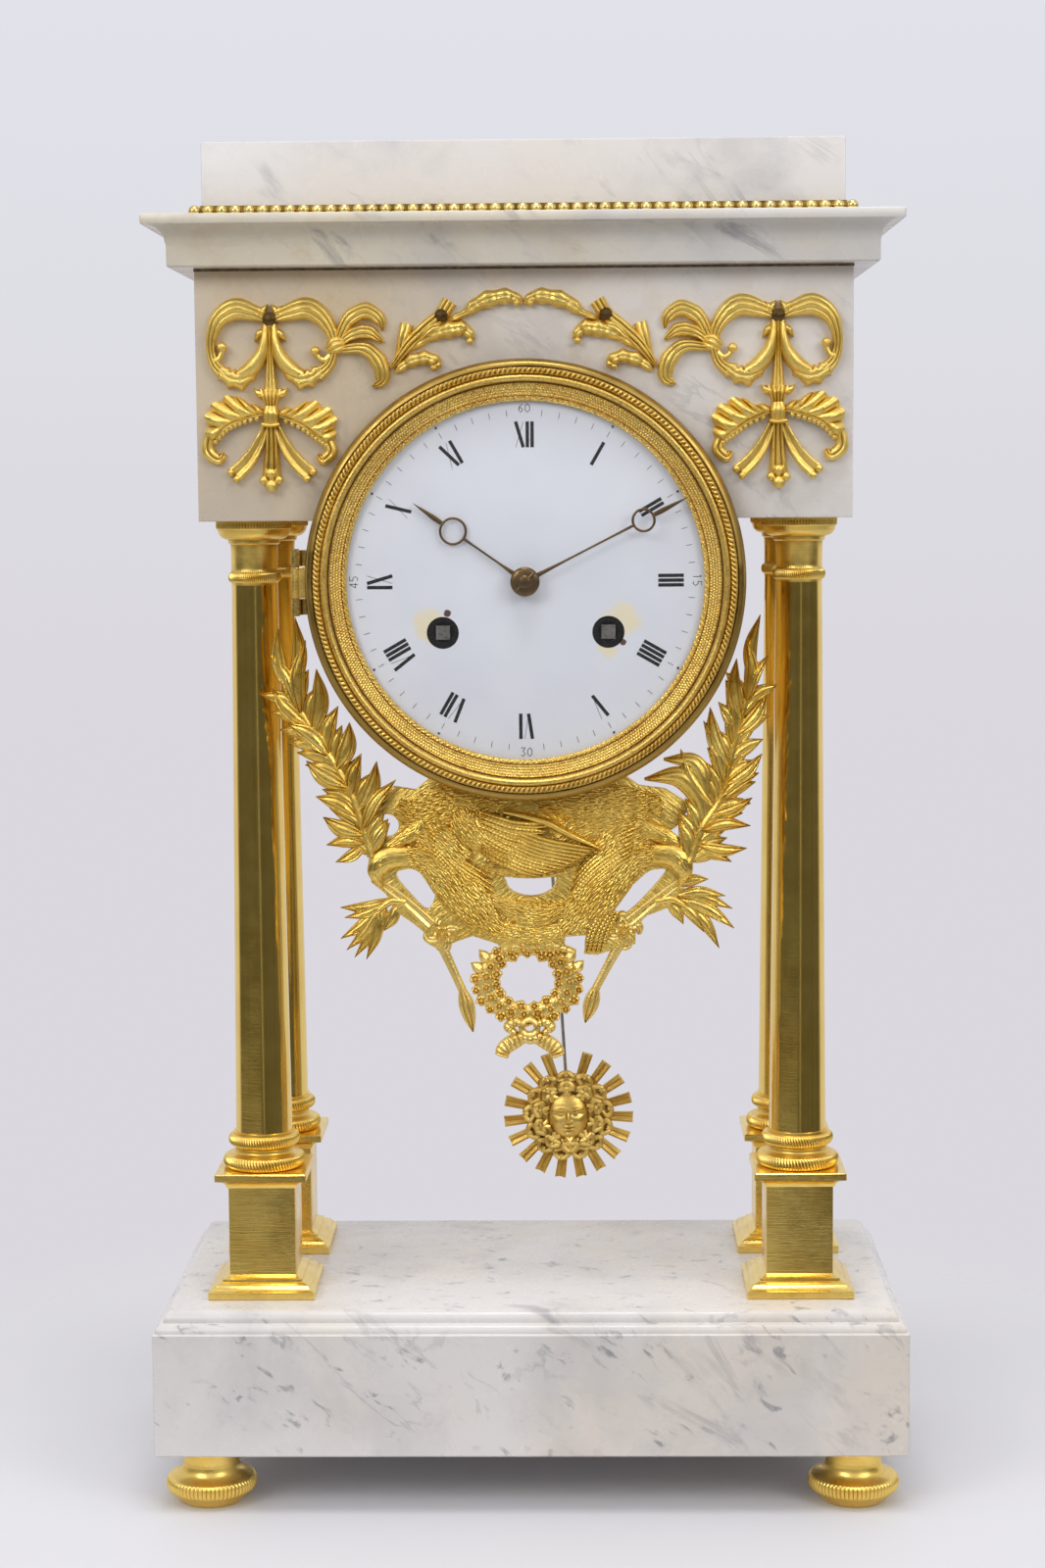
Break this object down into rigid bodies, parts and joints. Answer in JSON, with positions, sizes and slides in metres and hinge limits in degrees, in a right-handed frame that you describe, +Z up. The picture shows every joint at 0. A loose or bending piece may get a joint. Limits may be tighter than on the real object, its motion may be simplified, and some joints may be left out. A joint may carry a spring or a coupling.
{
  "type": "portico clock",
  "caption": "Portico mantel clock: marble base and entablature on gilt columns, a drum movement with enamel dial, and a sun-mask pendulum swinging in the open bay.",
  "frame": {"origin": "centre of the footprint on the floor", "axes": "+Z up, +X to the viewer's right, -Y toward the viewer (the dial side)"},
  "size_m": [0.252, 0.128, 0.4544],
  "materials": {
    "marble": "polished",
    "gilt": "fire gilt, matt and burnished",
    "brass": "lacquered",
    "steel": "polished",
    "enamel": "glossy",
    "glass": "clear",
    "thread": "silk"
  },
  "bodies": {
    "case": {"base_slab": "marble", "feet": "gilt", "pedestals": "gilt", "column_bases": "gilt", "column_shafts": "gilt", "column_capitals": "gilt", "tie_rods": "steel", "tie_rod_nuts": "steel", "frieze_block": "marble", "cornice": "marble", "attic_block": "marble", "bead_moulding": "gilt", "scroll_mount_left": "gilt", "scroll_mount_right": "gilt", "leaf_sprig_left": "gilt", "leaf_sprig_right": "gilt", "trim_screws": "gilt", "dove_mount": "gilt", "laurel_left": "gilt", "laurel_right": "gilt", "drum_case": "brass", "drum_screws": "steel", "dial": "enamel", "dial_ring": "gilt", "front_plate": "brass", "back_plate": "brass", "plate_pillars": "brass", "movement_screws": "steel", "suspension_cock": "brass", "bell_post": "steel", "bell": "brass", "bezel_hinge_pin": "brass", "cover_hinge_pin": "brass"},
    "door": {"bezel": "gilt", "glass": "glass"},
    "rear_door": {"back_cover": "brass"},
    "minute_group": {"minute_hand": "gilt", "cannon_pinion": "brass", "hand_nut": "gilt"},
    "hour_group": {"hour_hand": "gilt", "hour_wheel": "brass"},
    "motion_group": {"minute_wheel": "brass"},
    "going_key": {"going_arbor": "steel"},
    "strike_key": {"strike_arbor": "steel"},
    "going_drum": {"going_barrel": "brass"},
    "second_group": {"second_wheel": "brass"},
    "centre_group": {"centre_wheel": "brass"},
    "third_group": {"third_wheel": "brass"},
    "escape_group": {"escape_wheel": "brass"},
    "anchor_group": {"anchor": "steel"},
    "pendulum": {"pendulum_rod": "steel", "pendulum_bob": "gilt", "suspension_thread": "thread"},
    "strike_drum": {"strike_barrel": "brass"},
    "count_group": {"count_wheel": "brass"},
    "pin_group": {"pin_wheel": "brass"},
    "fly_group": {"fly": "brass"},
    "hammer_group": {"hammer": "steel"},
    "going_click_group": {"going_click": "steel"},
    "strike_click_group": {"strike_click": "steel"}
  },
  "joints": [
    {"name": "bezel_hinge", "type": "hinge", "parent": "case", "child": "door", "pos_m": [-0.0752, -0.04815, 0.3112], "axis": [0, 0, -1], "range_deg": [0, 100]},
    {"name": "cover_hinge", "type": "hinge", "parent": "case", "child": "rear_door", "pos_m": [0.071, 0.0476, 0.3112], "axis": [0, 0, -1], "range_deg": [0, 110]},
    {"name": "minute_spin", "type": "hinge", "parent": "case", "child": "minute_group", "pos_m": [0, 0, 0.3112], "axis": [0, 1, 0], "continuous": true},
    {"name": "hour_spin", "type": "hinge", "parent": "case", "child": "hour_group", "pos_m": [0, 0, 0.3112], "axis": [0, 1, 0], "continuous": true},
    {"name": "motion_spin", "type": "hinge", "parent": "case", "child": "motion_group", "pos_m": [0.006, 0, 0.32159], "axis": [0, 1, 0], "continuous": true},
    {"name": "third_spin", "type": "hinge", "parent": "case", "child": "third_group", "pos_m": [0.01141, 0, 0.31969], "axis": [0, 1, 0], "continuous": true},
    {"name": "centre_spin", "type": "hinge", "parent": "case", "child": "centre_group", "pos_m": [0, 0, 0.3112], "axis": [0, 1, 0], "continuous": true},
    {"name": "second_spin", "type": "hinge", "parent": "case", "child": "second_group", "pos_m": [0.00635, 0, 0.29691], "axis": [0, 1, 0], "continuous": true},
    {"name": "going_barrel_spin", "type": "hinge", "parent": "case", "child": "going_drum", "pos_m": [0.0272, 0, 0.2944], "axis": [0, 1, 0], "continuous": true},
    {"name": "escape_spin", "type": "hinge", "parent": "case", "child": "escape_group", "pos_m": [0, 0, 0.326], "axis": [0, 1, 0], "continuous": true},
    {"name": "pendulum_swing", "type": "hinge", "parent": "case", "child": "pendulum", "pos_m": [0, 0, 0.3365], "axis": [0, 1, 0], "range_deg": [-1.1, 7.9]},
    {"name": "anchor_rock", "type": "hinge", "parent": "case", "child": "anchor_group", "pos_m": [0, 0, 0.3365], "axis": [0, 1, 0], "range_deg": [-1.1, 7.9]},
    {"name": "going_wind", "type": "hinge", "parent": "case", "child": "going_key", "pos_m": [0.0272, 0, 0.2944], "axis": [0, 1, 0], "continuous": true},
    {"name": "strike_wind", "type": "hinge", "parent": "case", "child": "strike_key", "pos_m": [-0.0272, 0, 0.2944], "axis": [0, 1, 0], "continuous": true},
    {"name": "pin_spin", "type": "hinge", "parent": "case", "child": "pin_group", "pos_m": [-0.0143, 0, 0.32706], "axis": [0, 1, 0], "continuous": true},
    {"name": "count_spin", "type": "hinge", "parent": "case", "child": "count_group", "pos_m": [-0.01562, 0, 0.31192], "axis": [0, 1, 0], "continuous": true},
    {"name": "strike_barrel_spin", "type": "hinge", "parent": "case", "child": "strike_drum", "pos_m": [-0.0272, 0, 0.2944], "axis": [0, 1, 0], "continuous": true},
    {"name": "fly_spin", "type": "hinge", "parent": "case", "child": "fly_group", "pos_m": [-0.02546, 0, 0.33005], "axis": [0, 1, 0], "continuous": true},
    {"name": "hammer_lift", "type": "hinge", "parent": "case", "child": "hammer_group", "pos_m": [-0.031, 0, 0.3192], "axis": [0, 1, 0], "range_deg": [0, 15], "stiffness_Nm_per_rad": 0.01, "springref_deg": -8.59},
    {"name": "going_click_lift", "type": "hinge", "parent": "case", "child": "going_click_group", "pos_m": [0.03295, 0, 0.30436], "axis": [0, -1, 0], "range_deg": [0, 15], "stiffness_Nm_per_rad": 0.002, "springref_deg": -11.46},
    {"name": "strike_click_lift", "type": "hinge", "parent": "case", "child": "strike_click_group", "pos_m": [-0.03295, 0, 0.30436], "axis": [0, 1, 0], "range_deg": [0, 15], "stiffness_Nm_per_rad": 0.002, "springref_deg": -11.46}
  ],
  "couplings": [
    {"joint": "hour_spin", "follows": "minute_spin", "ratio": 0.083333},
    {"joint": "motion_spin", "follows": "minute_spin", "ratio": -0.33333},
    {"joint": "centre_spin", "follows": "third_spin", "ratio": -0.097222},
    {"joint": "second_spin", "follows": "third_spin", "ratio": 0.012963},
    {"joint": "going_barrel_spin", "follows": "third_spin", "ratio": -0.0021605},
    {"joint": "escape_spin", "follows": "third_spin", "ratio": -10.286},
    {"joint": "anchor_rock", "follows": "pendulum_swing", "ratio": 1},
    {"joint": "count_spin", "follows": "pin_spin", "ratio": -0.11111},
    {"joint": "strike_barrel_spin", "follows": "pin_spin", "ratio": 0.018519},
    {"joint": "fly_spin", "follows": "pin_spin", "ratio": -10}
  ]
}
